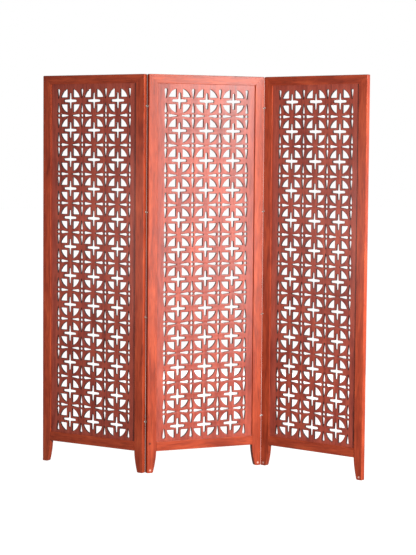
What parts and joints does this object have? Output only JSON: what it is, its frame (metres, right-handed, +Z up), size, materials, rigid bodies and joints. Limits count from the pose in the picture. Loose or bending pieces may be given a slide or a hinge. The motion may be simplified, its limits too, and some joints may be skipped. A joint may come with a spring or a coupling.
{
  "type": "folding screen",
  "caption": "Free-standing folding screen of framed leaves filled with pierced fretwork boards, hinged to stand in a zigzag.",
  "frame": {"origin": "floor point under the middle of the standing screen's bounding box", "axes": "+X along the centre leaf to its right end, -Y towards the front, +Z up"},
  "size_m": [1.1024, 0.9706, 1.703],
  "materials": {
    "frame_wood": "red-brown mahogany stain, satin",
    "fret_wood": "red-brown mahogany stain, satin, a little duller",
    "hinge_brass": "worn, unpolished"
  },
  "bodies": {
    "centre_leaf": {"centre_left_stile": "frame_wood", "centre_right_stile": "frame_wood", "centre_top_rail": "frame_wood", "centre_bottom_rail": "frame_wood", "centre_fret_board": "fret_wood", "left_hinge_1_upper_plate": "hinge_brass", "left_hinge_2_upper_plate": "hinge_brass", "left_hinge_3_upper_plate": "hinge_brass", "left_hinge_4_upper_plate": "hinge_brass", "right_hinge_1_upper_plate": "hinge_brass", "right_hinge_2_upper_plate": "hinge_brass", "right_hinge_3_upper_plate": "hinge_brass", "right_hinge_4_upper_plate": "hinge_brass"},
    "left_leaf": {"left_left_stile": "frame_wood", "left_right_stile": "frame_wood", "left_top_rail": "frame_wood", "left_bottom_rail": "frame_wood", "left_fret_board": "fret_wood", "left_hinge_1_lower_plate": "hinge_brass", "left_hinge_2_lower_plate": "hinge_brass", "left_hinge_3_lower_plate": "hinge_brass", "left_hinge_4_lower_plate": "hinge_brass"},
    "right_leaf": {"right_left_stile": "frame_wood", "right_right_stile": "frame_wood", "right_top_rail": "frame_wood", "right_bottom_rail": "frame_wood", "right_fret_board": "fret_wood", "right_hinge_1_lower_plate": "hinge_brass", "right_hinge_2_lower_plate": "hinge_brass", "right_hinge_3_lower_plate": "hinge_brass", "right_hinge_4_lower_plate": "hinge_brass"}
  },
  "joints": [
    {"name": "left_fold", "type": "hinge", "parent": "centre_leaf", "child": "left_leaf", "pos_m": [-0.2428, 0.0271, 0], "axis": [0, 0, 1], "range_deg": [-122.3, 57.7]},
    {"name": "right_fold", "type": "hinge", "parent": "centre_leaf", "child": "right_leaf", "pos_m": [0.2995, 0.0048, 0], "axis": [0, 0, 1], "range_deg": [-115.3, 64.7]}
  ]
}
